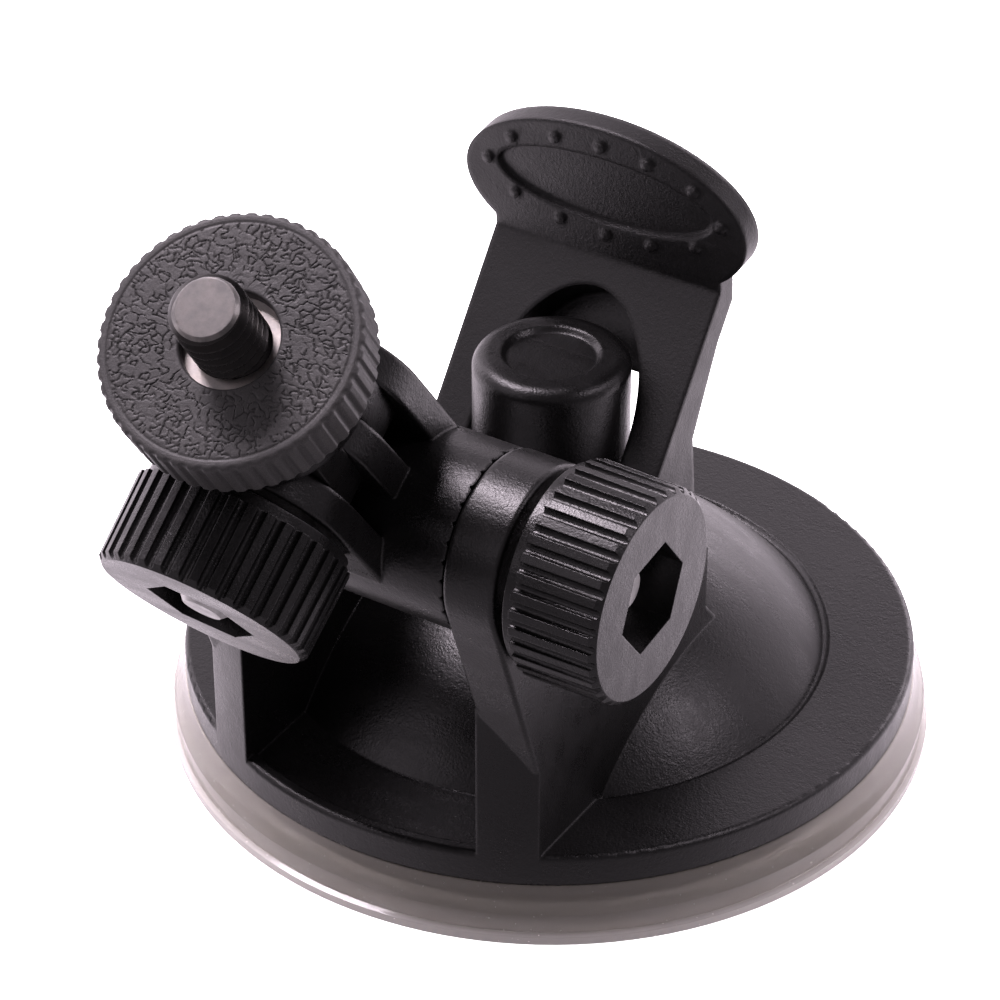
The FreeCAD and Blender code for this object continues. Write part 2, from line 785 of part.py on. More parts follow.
def make_head():
    """Two fingers under a round block, and the tripod screw set in it."""
    parts = [cylinder("head_block", "head_block_radius", "head_block_top - head_block_bottom",
                      ("0", "0", "head_block_bottom"))]
    width = "finger_inner - middle_finger_half - 2 * fit_gap"
    for name, start in (("front", "-finger_inner + fit_gap"),
                        ("back", "middle_finger_half + fit_gap")):
        parts.append(cylinder(f"head_tip_{name}", "head_finger_radius", width,
                              ("0", start, "0"), ALONG_Y))
        parts.append(box(f"head_finger_{name}",
                         ("2 * head_finger_radius", width, "head_block_bottom + overlap"),
                         ("-head_finger_radius", start, "0")))
    pivot = cylinder("head_pivot_bore", "bolt_radius + fit_gap", "4 * finger_outer",
                     ("0", "-2 * finger_outer", "0"), ALONG_Y)
    seat = hexagon("screw_head_seat", "screw_head_flats + 2 * seat_gap",
                   "screw_head_height + seat_gap", ("0", "0", "screw_bottom - seat_gap / 2"))
    shank = cylinder("screw_shank_hole", "screw_pitch_radius + seat_gap", "screw_tip",
                     ("0", "0", "screw_bottom"))
    knob_room = cylinder("knob_room", "knob_radius + knob_clear", "knob_length",
                         ("0", "-finger_outer - knob_clear - knob_length", "0"), ALONG_Y)
    head = cut("head_base", fuse("head_solid", parts), [pivot, seat, shank, knob_room])
    node(head, "head_base", HEAD)

    tip = turned("screw_shank", [
        ("0", "screw_bottom"),
        ("screw_pitch_radius", "screw_bottom"),
        ("screw_pitch_radius", "disc_face + spare"),
        ("screw_radius", "disc_face + spare"),
        ("screw_radius", "screw_tip - screw_radius + screw_tip_radius"),
        ("screw_tip_radius", "screw_tip"),
        ("0", "screw_tip"),
    ])
    screw_head = hexagon("screw_head", "screw_head_flats", "screw_head_height",
                         ("0", "0", "screw_bottom"))
    node(fuse("tripod_screw", [tip, screw_head]), "tripod_screw", HEAD)


def make_lock_disc():
    disc = turned("lock_disc", [
        ("insert_radius + seat_gap", "disc_bottom"),
        ("disc_radius - disc_edge", "disc_bottom"),
        ("disc_radius", "disc_bottom + disc_edge"),
        ("disc_radius", "disc_face - disc_edge"),
        ("disc_radius - disc_edge", "disc_face"),
        ("disc_hole_radius", "disc_face"),
        ("disc_hole_radius", "insert_top + seat_gap"),
        ("insert_radius + seat_gap", "insert_top + seat_gap"),
    ])
    groove_round(disc, "knurl_groove", "disc_radius + knurl_groove - knurl_depth",
                 "knurl_count", "disc_bottom - overlap",
                 "disc_face - disc_bottom + 2 * overlap")
    node(disc, "lock_disc", HEAD)

    insert = turned("disc_insert", [
        ("screw_pitch_radius + thread_gap", "disc_bottom + fit_gap"),
        ("insert_radius", "disc_bottom + fit_gap"),
        ("insert_radius", "insert_top"),
        ("screw_pitch_radius + thread_gap", "insert_top"),
    ])
    node(insert, "disc_insert", HEAD)


# -------------------------------------------------------------- clamps


def make_knob(name, placement):
    """Ribbed knob with a hexagon pocket, +Z out of its face."""
    body = turned(f"{name}_form", [
        ("0", "0"),
        ("knob_radius - rib_height", "0"),
        ("knob_radius - rib_height", "knob_collar"),
        ("knob_radius", "knob_collar"),
        ("knob_radius - knob_taper", "knob_length - knob_edge"),
        ("knob_radius - knob_taper - knob_edge", "knob_length"),
        ("0", "knob_length"),
    ])
    groove_round(body, "rib_groove", "knob_radius - rib_height + rib_groove", "rib_count",
                 "knob_collar", "knob_length")
    pocket = hexagon(f"{name}_pocket", "pocket_flats", "knob_length",
                     ("0", "0", "nut_inset"))
    bore = cylinder(f"{name}_bore", "bolt_radius + fit_gap", "4 * knob_length",
                    ("0", "0", "-2 * knob_length"))
    node(cut(name, body, [pocket, bore]), name, placement)


def make_nut(name, placement):
    blank = hexagon(f"{name}_blank", "nut_flats", "nut_height",
                    ("0", "0", "nut_inset + seat_gap"))
    bore = cylinder(f"{name}_bore", "bolt_radius + fit_gap", "4 * nut_height",
                    ("0", "0", "-nut_height"))
    node(cut(name, blank, [bore]), name, placement)


def make_washer(name, height, placement):
    disc = cylinder(f"{name}_disc", "washer_radius", height, ("0", "0", f"-({height}) - fit_gap"))
    bore = cylinder(f"{name}_bore", "bolt_radius + fit_gap", f"4 * ({height})",
                    ("0", "0", f"-2 * ({height})"))
    node(cut(name, disc, [bore]), name, placement)


def make_bolt(name, grip, depth, placement):
    """Hex bolt whose head's seat is the grip below the knob's inner face, and
    whose end lies at a depth below the knob's outer face."""
    end = f"knob_length - {depth}"
    shank = turned(f"{name}_shank", [
        ("0", f"-({grip})"),
        ("bolt_radius", f"-({grip})"),
        ("bolt_radius", f"{end} - bolt_chamfer"),
        ("bolt_radius - bolt_chamfer", end),
        ("0", end),
    ])
    head = hexagon(f"{name}_head", "bolt_head_flats", "bolt_head_height",
                   ("0", "0", f"-({grip}) - bolt_head_height"))
    node(fuse(name, [shank, head]), name, placement)


def make_clamps():
    stacks = {
        # The yoke bolt's head sits flush in the left eye.
        "arm": ("2 * web_inner + 2 * web_thickness - bolt_head_height"
                " + arm_washer_height + 2 * fit_gap",
                "arm_washer_height", "arm_bolt_depth", "arm_knob_turn", YOKE_KNOB),
        # The pivot bolt's head sits flush in the back finger.
        "head": ("2 * finger_outer - bolt_head_height + head_washer_height + 2 * fit_gap",
                 "head_washer_height", "head_bolt_depth", "head_knob_turn", HEAD_KNOB),
    }
    for name, (grip, washer_height, bolt_depth, turn, placement) in stacks.items():
        turned_knob = placement * frame((0, 0, 0), (0, 0, 1), value(turn))
        make_knob(f"{name}_knob", turned_knob)
        make_nut(f"{name}_nut", turned_knob)
        make_washer(f"{name}_washer", washer_height, placement)
        make_bolt(f"{name}_bolt", grip, bolt_depth, placement)


make_suction_cup()
make_base_housing()
make_stem()
make_spring()
make_lever()
make_arm()
make_head()
make_lock_disc()
make_clamps()
doc.recompute()

# -------------------------------------------------------------- check and write

faults = []
for item in doc.Objects:
    if {"Invalid", "Error"} & set(item.State):
        faults.append(f"{item.Name}: {item.State}")
for item in nodes:
    if item.Shape.isNull() or not item.Shape.isValid() or not item.Shape.Solids:
        faults.append(f"{item.Label}: shape is null, invalid or has no solid")
if faults:
    raise RuntimeError("\n".join(faults))

os.makedirs("parts", exist_ok=True)
for item in nodes:
    item.Shape.exportStep(f"parts/{item.Label}.step")
    print(f"{item.Label}: {len(item.Shape.Solids)} solid, {item.Shape.Volume:.1f} mm3")
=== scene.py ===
"""Looks of the suction cup camera mount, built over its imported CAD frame."""

import json
import math

import bpy
import numpy as np
from mathutils import Matrix, Vector


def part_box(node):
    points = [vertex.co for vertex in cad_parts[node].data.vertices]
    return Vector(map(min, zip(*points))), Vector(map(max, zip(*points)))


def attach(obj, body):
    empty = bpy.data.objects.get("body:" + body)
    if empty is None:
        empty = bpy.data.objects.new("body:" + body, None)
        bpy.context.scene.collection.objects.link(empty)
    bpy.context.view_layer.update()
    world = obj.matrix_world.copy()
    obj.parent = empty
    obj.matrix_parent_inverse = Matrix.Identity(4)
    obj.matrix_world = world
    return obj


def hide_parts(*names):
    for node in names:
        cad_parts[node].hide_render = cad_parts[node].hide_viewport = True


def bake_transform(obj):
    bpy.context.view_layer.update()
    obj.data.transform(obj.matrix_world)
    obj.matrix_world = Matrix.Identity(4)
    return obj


MM = 0.001
SHARP_ANGLE = math.radians(38)
# The camera's heading round the mount and its height above the horizon.
AZIMUTH = math.radians(32.27)
ELEVATION = math.radians(34.331)

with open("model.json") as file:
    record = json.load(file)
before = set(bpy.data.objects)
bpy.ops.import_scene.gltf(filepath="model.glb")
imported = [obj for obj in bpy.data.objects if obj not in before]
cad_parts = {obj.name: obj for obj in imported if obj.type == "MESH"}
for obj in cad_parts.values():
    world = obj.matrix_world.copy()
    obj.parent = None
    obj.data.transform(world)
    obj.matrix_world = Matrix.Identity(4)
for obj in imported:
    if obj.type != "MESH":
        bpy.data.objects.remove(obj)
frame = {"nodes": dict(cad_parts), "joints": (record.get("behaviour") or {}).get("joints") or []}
nodes = frame["nodes"]
joints = {joint["name"]: joint for joint in frame["joints"]}
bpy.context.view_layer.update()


# ------------------------------------------------------------ node helpers


class Graph:
    """Short ways to lay out one shader node tree."""

    def __init__(self, tree):
        self.tree = tree
        tree.nodes.clear()

    def add(self, kind, **settings):
        made = self.tree.nodes.new(kind)
        for key, setting in settings.items():
            setattr(made, key, setting)
        return made

    def feed(self, target, source):
        if isinstance(source, bpy.types.NodeSocket):
            self.tree.links.new(source, target)
        elif hasattr(target.default_value, "__len__") and not isinstance(source, (tuple, list)):
            target.default_value = [source] * len(target.default_value)
        else:
            target.default_value = source

    def node(self, kind, inputs=None, **settings):
        made = self.add(kind, **settings)
        for key, source in (inputs or {}).items():
            self.feed(made.inputs[key], source)
        return made

    def math(self, operation, a, b=0.0, clamp=False):
        return self.node("ShaderNodeMath", {0: a, 1: b}, operation=operation,
                         use_clamp=clamp).outputs[0]

    def spread(self, value, low, high, out_low=0.0, out_high=1.0):
        return self.node("ShaderNodeMapRange", {
            "Value": value, "From Min": low, "From Max": high,
            "To Min": out_low, "To Max": out_high,
        }, clamp=True).outputs["Result"]

    def mix(self, share, a, b):
        made = self.node("ShaderNodeMix", data_type="RGBA")
        self.feed(made.inputs[0], share)
        self.feed(made.inputs[6], a)
        self.feed(made.inputs[7], b)
        return made.outputs[2]

    def noise(self, where, size, detail=2.0, rough=0.5):
        """Noise whose blotches are about `size` metres across."""
        return self.node("ShaderNodeTexNoise", {
            "Vector": where, "Scale": 1.0 / size, "Detail": detail, "Roughness": rough,
        }).outputs["Fac"]

    def cells(self, where, size):
        return self.node("ShaderNodeTexVoronoi", {
            "Vector": where, "Scale": 1.0 / size,
        }).outputs["Distance"]

    def stretched(self, where, turn, scale):
        return self.node("ShaderNodeMapping", {
            "Vector": where, "Rotation": turn, "Scale": scale,
        }).outputs["Vector"]

    def bump(self, height, depth, normal=None):
        made = self.node("ShaderNodeBump", {"Height": height, "Distance": depth})
        if normal is not None:
            self.feed(made.inputs["Normal"], normal)
        return made.outputs["Normal"]

    def softened(self, radius, samples):
        """Normal rounded over the edges, and where those edges are, 0 to 1."""
        flat = self.add("ShaderNodeNewGeometry").outputs["Normal"]
        soft = self.node("ShaderNodeBevel", {"Radius": radius}, samples=samples).outputs["Normal"]
        agree = self.node("ShaderNodeVectorMath", {0: soft, 1: flat}, operation="DOT_PRODUCT")
        return soft, self.spread(agree.outputs["Value"], 0.985, 0.86)

    def surface(self, shader):
        out = self.add("ShaderNodeOutputMaterial")
        self.tree.links.new(shader.outputs[0], out.inputs["Surface"])


def new_graph(name):
    material = bpy.data.materials.new(name)
    material.use_nodes = True
    return material, Graph(material.node_tree)


def grey(level, warm=0.0):
    return (level * (1 + warm), level, level * (1 - warm), 1.0)


# --------------------------------------------------------------- materials


def moulded_plastic(name, level, roughness, grain_size, grain_depth, edge=0.35 * MM,
                    crease=0.0):
    """Black moulding: spark-eroded grain, softened edges, rubbed corners with a painted edge
    highlight, hairline scratches, a little dust on what faces up and painted shade in creases."""
    material, g = new_graph(name)
    where = g.add("ShaderNodeTexCoord").outputs["Object"]
    facing = g.add("ShaderNodeNewGeometry")
    soft, corner = g.softened(edge, 6)

    pits = g.noise(where, grain_size, 3.0, 0.6)
    grain = g.math("ADD", pits, g.math("MULTIPLY", g.cells(where, 1.7 * grain_size), 0.7))
    grain = g.math("ADD", grain, g.math("MULTIPLY", g.noise(where, 3.5 * grain_size, 1.0), 1.3))
    scratch_field = g.noise(g.stretched(where, (0.4, 0.7, 0.3), (70, 2600, 900)), 1.0, 1.0)
    scratches = g.spread(scratch_field, 0.74, 0.77)
    clouds = g.noise(where, 9 * MM, 4.0, 0.6)
    smears = g.noise(g.stretched(where, (0.9, 0.2, 0.5), (0.5, 1.6, 1.0)), 3 * MM, 3.0)

    # Rubbed corners, partly real wear and partly a painted edge highlight: lighter and glossier
    # along the edges.
    worn = g.math("MULTIPLY", corner, g.spread(g.noise(where, 1.3 * MM, 3.0), 0.42, 0.7))

    up = g.node("ShaderNodeSeparateXYZ", {0: facing.outputs["Normal"]}).outputs["Z"]
    specks = g.spread(g.noise(where, 0.22 * MM, 1.0), 0.66, 0.78)
    dust = g.math("MULTIPLY", g.spread(up, 0.3, 0.95),
                  g.math("MULTIPLY", specks, g.spread(clouds, 0.4, 0.75)))

    colour = g.mix(g.spread(clouds, 0.3, 0.7), grey(0.86 * level, 0.02), grey(1.15 * level, 0.04))
    colour = g.mix(g.spread(pits, 0.35, 0.65), grey(0.6 * level), colour)
    # Painted edge highlight and rubbed wear: the corners go lighter.
    colour = g.mix(g.math("MULTIPLY", worn, 0.4), colour, grey(3.0 * level + 0.02))
    colour = g.mix(g.math("MULTIPLY", dust, 0.2), colour, grey(0.2, 0.05))
    colour = g.mix(g.math("MULTIPLY", scratches, 0.12), colour, grey(0.06))

    rough = g.spread(smears, 0.3, 0.7, roughness - 0.05, roughness + 0.06)
    rough = g.math("ADD", rough, g.spread(pits, 0.35, 0.65, 0.05, -0.05))
    rough = g.math("SUBTRACT", rough, g.math("MULTIPLY", worn, 0.1))
    rough = g.math("ADD", rough, g.math("MULTIPLY", dust, 0.25), clamp=True)
    # Painted shade: deep creases go darker and lose their sheen.
    crease_shade = g.spread(facing.outputs["Pointiness"], 0.5, 0.44, 0.0, crease)
    colour = g.mix(crease_shade, colour, grey(0.1 * level))
    sheen = g.math("SUBTRACT", 0.5, g.math("MULTIPLY", crease_shade, 0.45))

    normal = g.bump(grain, grain_depth, soft)
    normal = g.bump(g.math("MULTIPLY", scratches, -1.0), 0.0015 * MM, normal)
    g.surface(g.node("ShaderNodeBsdfPrincipled", {
        "Base Color": colour, "Roughness": rough, "IOR": 1.49,
        "Specular IOR Level": sheen, "Normal": normal,
    }))
    return material


def turned_metal(name, level, roughness, brushed, warm=0.0, stain=0.25, edge=0.12 * MM):
    """Machined or plated steel: fine tool lines, stains, and corners painted brighter, partly
    polish and partly a painted edge highlight.
    """
    material, g = new_graph(name)
    where = g.add("ShaderNodeTexCoord").outputs["Object"]
    soft, corner = g.softened(edge, 4)
    lines = g.noise(g.stretched(where, (0, 0, 0), brushed), 0.05 * MM, 2.0)
    stains = g.noise(where, 1.6 * MM, 4.0, 0.65)
    dark = grey(level * (1 - stain), 0.5 * warm)
    colour = g.mix(g.spread(stains, 0.35, 0.65), dark, grey(level, warm))
    colour = g.mix(g.spread(lines, 0.35, 0.65, 0.0, 0.3), colour, grey(0.4 * level))
    # Painted edge highlight, partly polish: every edge goes brighter.
    colour = g.mix(g.math("MULTIPLY", corner, 0.6), colour, grey(min(1.0, 1.5 * level + 0.1)))
    rough = g.spread(stains, 0.3, 0.7, roughness + 0.12, roughness - 0.04)
    g.surface(g.node("ShaderNodeBsdfPrincipled", {
        "Base Color": colour, "Metallic": 1.0, "Roughness": rough,
        "Normal": g.bump(lines, 0.004 * MM, soft),
    }))
    return material


def clear_vinyl(name):
    """Soft PVC with flow marks and dust, painted shade greying its shoulder, and milky
    at its lip."""
    material, g = new_graph(name)
    where = g.add("ShaderNodeTexCoord").outputs["Object"]
    flow = g.noise(g.stretched(where, (0, 0, 0), (1.0, 1.0, 3.0)), 5 * MM, 3.0, 0.6)
    specks = g.spread(g.noise(where, 0.25 * MM, 1.0), 0.72, 0.85)
    height = g.node("ShaderNodeSeparateXYZ", {0: where}).outputs["Z"]
    shoulder = g.spread(height, 2.4 * MM, 4.4 * MM, 0.0, 0.6)
    lip = g.spread(height, 1.15 * MM, 0.85 * MM)
    colour = g.mix(g.spread(flow, 0.3, 0.7), (0.84, 0.80, 0.71, 1), (0.93, 0.91, 0.84, 1))
    # Painted shade: the shoulder just under the housing goes greyer.
    colour = g.mix(shoulder, colour, (0.55, 0.52, 0.46, 1))
    colour = g.mix(lip, colour, (0.97, 0.95, 0.9, 1))
    rough = g.math("ADD", g.spread(flow, 0.3, 0.7, 0.10, 0.2),
                   g.math("MULTIPLY", specks, 0.3), clamp=True)
    ripple = g.bump(g.noise(where, 1.4 * MM, 2.0), 0.03 * MM)
    glass = g.node("ShaderNodeBsdfPrincipled", {
        "Base Color": colour, "Roughness": rough, "IOR": 1.5,
        "Transmission Weight": g.spread(lip, 0, 1, 0.86, 0.55),
        "Normal": g.bump(g.noise(where, 0.3 * MM, 2.0), 0.008 * MM, ripple),
    })
    g.surface(glass)
    return material


black = moulded_plastic("black_plastic", 0.006, 0.32, 0.13 * MM, 0.017 * MM)
lever_black = moulded_plastic("lever_plastic", 0.007, 0.38, 0.12 * MM, 0.018 * MM, edge=0.7 * MM)
knob_black = moulded_plastic("knob_plastic", 0.006, 0.3, 0.13 * MM, 0.016 * MM, edge=0.13 * MM)
disc_black = moulded_plastic("disc_plastic", 0.062, 0.48, 0.09 * MM, 0.012 * MM, edge=0.06 * MM,
                             crease=0.55)
inner = moulded_plastic("inner_plastic", 0.08, 0.45, 0.16 * MM, 0.010 * MM)
vinyl = clear_vinyl("clear_cup")
dark_steel = turned_metal("dark_steel", 0.045, 0.22, (1, 1, 1), warm=0.05, edge=0.06 * MM)
ground_tip = turned_metal("ground_tip", 0.27, 0.3, (0.25, 5, 0.25), warm=0.05, stain=0.5)
bright = turned_metal("bright_metal", 0.6, 0.4, (0.2, 0.2, 6), warm=0.08)
zinc = turned_metal("zinc_steel", 0.75, 0.5, (1, 1, 1), warm=0.01)

# Each finish with the record's slot it belongs to and the nodes that have it.
FINISHES = [
    (black, "black_plastic", ["base_housing", "arm", "head_base"]),
    (lever_black, "black_plastic", ["lever"]),
    (knob_black, "knob_plastic", ["arm_knob", "head_knob"]),
    (disc_black, "disc_plastic", ["lock_disc"]),
    (inner, "inner_plastic", ["pull_stem", "stem_plate"]),
    (vinyl, "clear_cup", ["suction_cup"]),
    (dark_steel, "dark_steel", ["tripod_screw"]),
    (bright, "bright_metal", ["disc_insert"]),
    (zinc, "zinc_steel", ["arm_nut", "head_nut", "arm_bolt", "head_bolt", "arm_washer",
                          "head_washer", "lever_pin", "return_spring", "spring_washer"]),
]


def finish_with(thing, material):
    thing.data.materials.clear()
    thing.data.materials.append(material)


for material, slot, names in FINISHES:
    for name in names:
        finish_with(nodes[name], material)


# ------------------------------------------------- pieces that replace CAD


def head_frame():
    """Millimetre frame of the head: Y along its hinge, Z along its screw."""
    origin = Vector(joints["head_tilt"]["pos_m"])
    up = Vector(joints["lock_disc_spin"]["axis"]).normalized()
    along = Vector(joints["head_tilt"]["axis"]).normalized()
    across = along.cross(up)
    turn = Matrix((across, along, up)).transposed().to_4x4()
    return Matrix.Translation(origin) @ turn @ Matrix.Scale(MM, 4)


def reach_in_head(name):
    """Lowest, highest and widest point of a CAD node in the head's frame."""
    into_head = head_frame().inverted()
    points = np.array([into_head @ vertex.co for vertex in nodes[name].data.vertices])
    return points[:, 2].min(), points[:, 2].max(), np.hypot(points[:, 0], points[:, 1]).max()


def rings_mesh(name, points, placement, capped):
    """Smooth mesh from rings of points, shape (rings, steps, 3). Each ring
    closes on itself. Capped rings end in two faces; others join end to end."""
    rings, steps, _ = points.shape
    flat = points.reshape(-1, 3)
    ring = np.arange(rings if not capped else rings - 1)
    step = np.arange(steps)
    a = (ring[:, None] * steps + step[None, :]).ravel()
    b = (ring[:, None] * steps + (step[None, :] + 1) % steps).ravel()
    above = ((ring[:, None] + 1) % rings) * steps
    c = (above + (step[None, :] + 1) % steps).ravel()
    d = (above + step[None, :]).ravel()
    faces = np.stack([a, b, c, d], 1).tolist()
    if capped:
        faces.append(list(range(steps))[::-1])
        faces.append(list(range((rings - 1) * steps, rings * steps)))
    mesh = bpy.data.meshes.new(name)
    mesh.from_pydata(flat.tolist(), [], faces)
    mesh.transform(placement)
    mesh.update()
    mesh.shade_smooth()
    mesh.set_sharp_from_angle(angle=SHARP_ANGLE)
    made = bpy.data.objects.new(name, mesh)
    bpy.context.scene.collection.objects.link(made)
    return made


def swept(radius, angle, height):
    """Rings of points from radius and height grids over (ring, step)."""
    return np.stack([radius * np.cos(angle), radius * np.sin(angle),
                     height + 0 * radius], -1)


def threaded_screw():
    """1/4 inch, 20 threads per inch, with a ground tip and a hexagon head."""
    major, core, pitch, depth = 3.175, 2.76, 1.27, 0.75
    crest, flank = 0.10, 0.78
    head_bottom, tip, head_corner = reach_in_head("tripod_screw")
    head_top = head_bottom + 3.0
    runout = 17.25
    tip_radius, tip_rim, tip_worn = 2.45, 0.2, 0.3
    layer, sliver, steps = 0.055, 0.01, 108
    levels = np.concatenate([
        [head_bottom, head_bottom + sliver, head_top - sliver, head_top],
        np.arange(runout - 0.1, tip, layer), [tip, tip + 0.1 * sliver],
    ])
    angle = np.linspace(0, 2 * math.pi, steps, endpoint=False)[None, :]
    z = levels[:, None]
    phase = (z / pitch - angle / (2 * math.pi)) % 1.0
    ridge = np.abs(2 * phase - 1)
    groove = np.clip((ridge - crest) / flank, 0, 1)
    radius = np.where(z < runout, core, major - depth * groove)
    radius = np.minimum(radius, major - (z - (tip - major + tip_radius)))
    radius = np.where(z > tip, tip_radius - tip_rim, radius)
    sixth = math.pi / 3
    half_flats = head_corner * math.cos(sixth / 2)
    hexagon = half_flats / np.cos((angle + sixth / 2) % sixth - sixth / 2)
    in_head = (levels <= head_top - sliver / 2)[:, None]
    radius = np.where(in_head, hexagon, radius)
    screw = rings_mesh("tripod_screw_threaded", swept(radius, angle, z), head_frame(), True)
    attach(screw, "head")
    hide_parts("tripod_screw")
    finish_with(screw, dark_steel)
    screw.data.materials.append(ground_tip)
    worn = int(np.searchsorted(levels, tip - tip_worn)) * steps
    for face in screw.data.polygons[worn:]:
        face.material_index = 1


def leather_height(x, y, cell=0.6, squash=1.35, seed=7):
    """Leather grain in millimetres at points x, y: pads between wriggling
    creases, some of which fade out part of the way along."""
    rng = np.random.default_rng(seed)
    reach, jitter, wriggle = 16, 0.45, 0.055
    crease_width, crease_depth, pad_lift = 0.085, 0.11, 0.008
    count = int(2 * reach / cell)
    grid = (np.arange(count) + 0.5) * cell - reach
    gx, gy = np.meshgrid(grid, grid)
    sx = gx + rng.uniform(-jitter, jitter, gx.shape) * cell
    sy = gy + rng.uniform(-jitter, jitter, gy.shape) * cell
    lift = rng.uniform(-1, 1, sx.shape)
    fade = rng.uniform(0, 1, sx.shape)
    # Creases wriggle because the points are first pushed about by slow waves.
    waves = [(rng.uniform(2.5, 7.5), rng.uniform(0, 6.3), rng.uniform(0, 6.3)) for _ in range(6)]
    px, py = x.copy(), squash * y
    for rate, heading, phase in waves:
        along = rate * (x * math.cos(heading) + y * math.sin(heading)) + phase
        px = px + wriggle * np.sin(along)
        py = py + wriggle * np.cos(1.3 * along)
    column = np.clip(((px + reach) / cell).astype(int), 1, count - 2)
    row = np.clip(((py + reach) / cell).astype(int), 1, count - 2)
    near = np.full(x.shape, 1e9)
    second = np.full(x.shape, 1e9)
    own_lift, own_fade, next_fade = np.zeros(x.shape), np.zeros(x.shape), np.zeros(x.shape)
    for dr in (-1, 0, 1):
        for dc in (-1, 0, 1):
            r, c = row + dr, column + dc
            away = np.hypot(px - sx[r, c], py - sy[r, c])
            closer = away < near
            runner_up = ~closer & (away < second)
            second = np.where(closer, near, np.where(runner_up, away, second))
            next_fade = np.where(closer, own_fade, np.where(runner_up, fade[r, c], next_fade))
            own_fade = np.where(closer, fade[r, c], own_fade)
            own_lift = np.where(closer, lift[r, c], own_lift)
            near = np.where(closer, away, near)
    crease = np.exp(-((second - near) / crease_width) ** 2)
    kept = np.clip(5 * (np.abs(own_fade - next_fade) - 0.16), 0, 1)
    return pad_lift * own_lift * (1 - crease) - crease_depth * crease * kept


def grained_disc():
    """Lock disc with a knurled rim and a leather-grained face."""
    bottom, face, outer = reach_in_head("lock_disc")
    hole, bore, ledge = 4.1, 4.67, 17.22
    edge, hole_edge, ring_pitch = 0.5, 0.25, 0.085
    knurls, groove, groove_sunk = 50, 0.45, 0.25
    border_width, seam_width, seam_depth = 0.45, 0.09, 0.07
    steps = knurls * 16
    angle = np.linspace(0, 2 * math.pi, steps, endpoint=False)[None, :]
    quarter = np.linspace(0, math.pi / 2, 6)
    profile = [(bore, bottom), (bore + 1.5, bottom), (outer - 2, bottom)]
    profile += [(outer - edge + edge * math.sin(t), bottom + edge - edge * math.cos(t))
                for t in quarter]
    profile += [(outer, bottom + edge + k * (face - bottom - 2 * edge) / 12) for k in range(1, 12)]
    profile += [(outer - edge + edge * math.cos(t), face - edge + edge * math.sin(t))
                for t in quarter]
    profile += [(outer - edge - 0.05, face), (outer - edge - 0.12, face)]
    profile += [(r, face) for r in np.arange(outer - edge - 0.16, hole + 0.45, -ring_pitch)]
    profile += [(hole + hole_edge * (1 - math.sin(t)), face - hole_edge * (1 - math.cos(t)))
                for t in quarter]
    profile += [(hole, face - 0.8), (hole, ledge), (bore, ledge), (bore, ledge - 1)]
    profile = np.array(profile)
    radius = np.repeat(profile[:, :1], steps, 1)
    height = np.repeat(profile[:, 1:], steps, 1)
    offset = (angle * knurls / (2 * math.pi) % 1.0 - 0.5) * (2 * math.pi * outer / knurls)
    dip = np.clip(np.sqrt(np.clip(groove**2 - offset**2, 0, None)) - groove_sunk, 0, None)
    bite = np.clip(1 - np.clip(outer - radius, 0, None) / groove, 0, 1)
    radius = radius - dip * bite
    x, y = radius * np.cos(angle), radius * np.sin(angle)
    border = outer - edge - border_width
    on_face = np.clip((radius - 4.4) / 0.3, 0, 1) * np.clip((border - radius) / 0.12, 0, 1)
    seam = np.exp(-((radius - border) / seam_width) ** 2)
    top = height > face - 0.01
    height = height + np.where(top, leather_height(x, y) * on_face - seam_depth * seam, 0)
    disc = rings_mesh("lock_disc_grained", np.stack([x, y, height], -1), head_frame(), False)
    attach(disc, "lock_disc")
    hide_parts("lock_disc")
    finish_with(disc, disc_black)


def return_coil():
    """The stem's return spring, as a fixed coil; the real one shortens as the stem comes up."""
    wire, turns, steps = 0.35, 4, 16
    low, high = (Vector(corner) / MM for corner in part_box("return_spring"))
    radius = high.x - wire
    along = np.linspace(0, 1, 48 * turns + 1)[:, None]
    turn = 2 * math.pi * turns * along
    middle = low.z + wire + along * (high.z - low.z - 2 * wire)
    around = np.linspace(0, 2 * math.pi, steps, endpoint=False)[None, :]
    points = swept(radius + wire * np.cos(around), turn, middle + wire * np.sin(around))
    coil = rings_mesh("return_coil", points, Matrix.Scale(MM, 4), True)
    finish_with(coil, zinc)
    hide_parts("return_spring")
    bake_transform(coil)


threaded_screw()
grained_disc()
return_coil()


# ------------------------------------------------------ camera and studio


def aim(thing, at):
    thing.rotation_euler = (Vector(at) - thing.location).to_track_quat("-Z", "Y").to_euler()


# Level heading from the camera past the mount, where most of the light comes from.
AWAY = (-math.sin(AZIMUTH), math.cos(AZIMUTH), 0)
TINT = (1.0, 0.88, 0.98)
# Place in metres, width and height in metres, power in watts.
SOFTBOXES = {
    "softbox_top": ((-0.32, -0.01, 0.66), (0.24, 0.24), 5.2),
    "softbox_front_left": ((-0.28, -0.5, 0.43), (0.4, 0.4), 0.42),
    "softbox_right": ((0.45, 0.12, 0.46), (0.2, 0.2), 0.7),
    "softbox_left": ((-0.6, 0.1, 0.22), (0.24, 0.4), 0.5),
    "softbox_back": ((-0.04, 0.62, 0.2), (0.3, 0.1), 0.45),
}


def set_camera():
    distance = 350 * MM
    target = Vector((-3.955, -2.497, 22.829)) * MM
    back = Vector((math.sin(AZIMUTH) * math.cos(ELEVATION),
                   -math.cos(AZIMUTH) * math.cos(ELEVATION), math.sin(ELEVATION)))
    lens = bpy.data.cameras.new("photo_camera")
    lens.sensor_width = 36
    lens.lens = 135.866
    lens.clip_start = 0.01
    camera = bpy.data.objects.new("photo_camera", lens)
    camera.location = target + distance * back
    bpy.context.scene.collection.objects.link(camera)
    aim(camera, target)
    bpy.context.scene.camera = camera


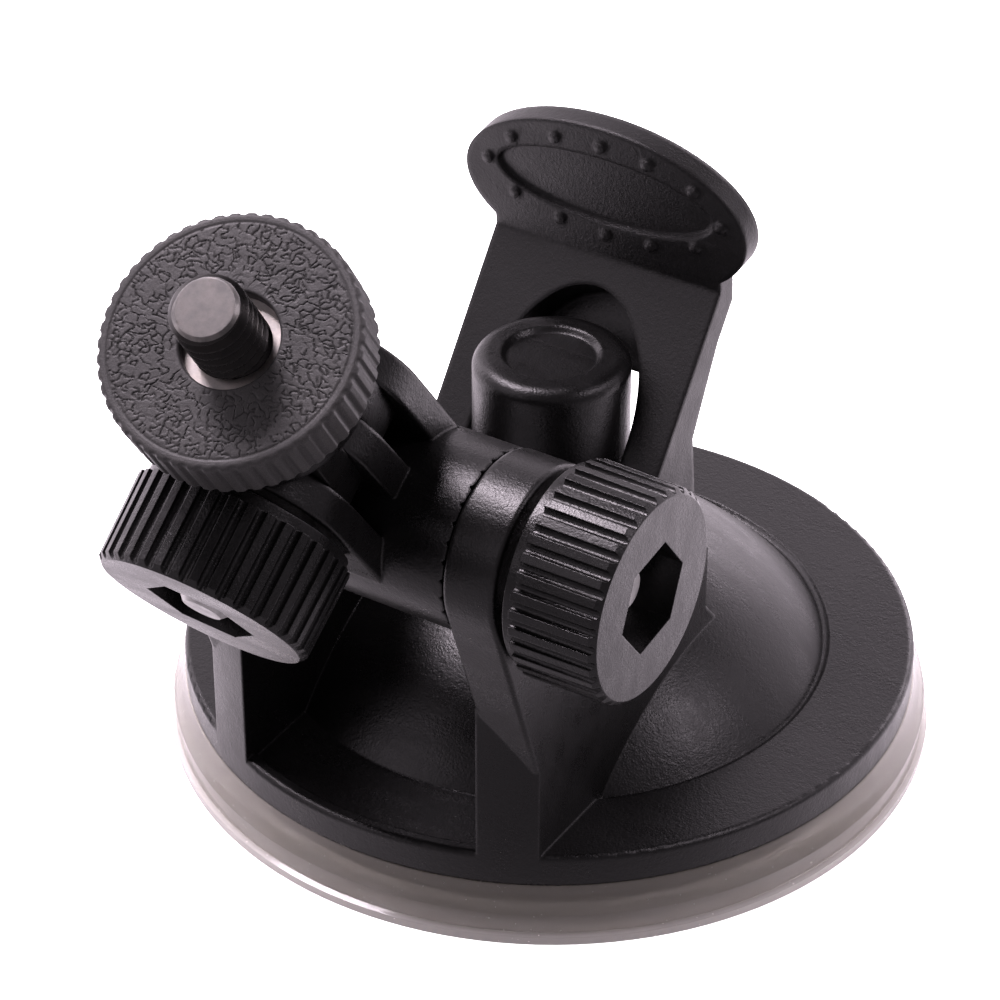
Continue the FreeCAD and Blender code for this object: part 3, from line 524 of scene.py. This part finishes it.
def softbox(name, place, size, energy):
    lamp = bpy.data.lights.new(name, "AREA")
    lamp.shape = "RECTANGLE"
    lamp.size, lamp.size_y = size
    lamp.energy = energy
    lamp.color = TINT
    box = bpy.data.objects.new(name, lamp)
    box.location = place
    bpy.context.scene.collection.objects.link(box)
    aim(box, (0, 0, 30 * MM))


def set_world():
    """Bright low sky behind, dim overhead and in front."""
    world = bpy.data.worlds.new("studio")
    bpy.context.scene.world = world
    world.use_nodes = True
    g = Graph(world.node_tree)
    heading = g.add("ShaderNodeTexCoord").outputs["Generated"]
    height = g.node("ShaderNodeSeparateXYZ", {0: heading}).outputs["Z"]
    along = g.node("ShaderNodeVectorMath", {0: heading, 1: AWAY}, operation="DOT_PRODUCT")
    low = g.spread(height, 0.8, 0.5)
    behind = g.spread(along.outputs["Value"], -0.2, 0.5, 0.14, 1.2)
    strength = g.math("ADD", g.math("MULTIPLY", low, behind), 0.06)
    shade = g.node("ShaderNodeBackground", {"Color": (*TINT, 1), "Strength": strength})
    out = g.add("ShaderNodeOutputWorld")
    world.node_tree.links.new(shade.outputs[0], out.inputs["Surface"])


def set_floor():
    """White paper, overexposed all round, in shade under the cup."""
    mesh = bpy.data.meshes.new("floor")
    half = 3.0
    mesh.from_pydata([(-half, -half, 0), (half, -half, 0), (half, half, 0), (-half, half, 0)],
                     [], [(0, 1, 2, 3)])
    floor = bpy.data.objects.new("floor", mesh)
    floor.location.z = -0.02 * MM
    bpy.context.scene.collection.objects.link(floor)
    material, g = new_graph("floor_paper")
    where = g.add("ShaderNodeTexCoord").outputs["Object"]
    fibres = g.noise(where, 1.5 * MM, 3.0)
    away = g.node("ShaderNodeVectorMath", {0: where}, operation="LENGTH").outputs["Value"]
    along = g.node("ShaderNodeVectorMath", {0: where, 1: AWAY}, operation="DOT_PRODUCT")
    along = along.outputs["Value"]
    # Painted shadow: under the front of the cup the paper goes dark and stops glowing.
    beside = g.spread(along, -26 * MM, -2 * MM)
    outside_painted_shadow = g.math("MAXIMUM", g.spread(away, 33.5 * MM, 36.5 * MM), beside)
    behind = g.spread(along, -45 * MM, -2 * MM, 0.2, 1.8)
    seen = g.add("ShaderNodeLightPath").outputs["Is Camera Ray"]
    glow = g.math("ADD", behind, seen)
    paper = g.mix(fibres, grey(0.88), grey(0.92))
    paper = g.mix(seen, grey(0.15), paper)
    g.surface(g.node("ShaderNodeBsdfPrincipled", {
        "Base Color": g.mix(outside_painted_shadow, grey(0.06), paper), "Roughness": 0.8,
        "Emission Color": g.mix(seen, (*TINT, 1), grey(1.0)),
        "Emission Strength": g.math("MULTIPLY", glow, outside_painted_shadow),
        "Normal": g.bump(fibres, 0.01 * MM),
    }))
    mesh.materials.append(material)


def set_studio():
    set_world()
    for name, (place, size, energy) in SOFTBOXES.items():
        softbox(name, place, size, energy)
    set_floor()


set_camera()
set_studio()
bpy.context.scene.view_settings.view_transform = "Standard"
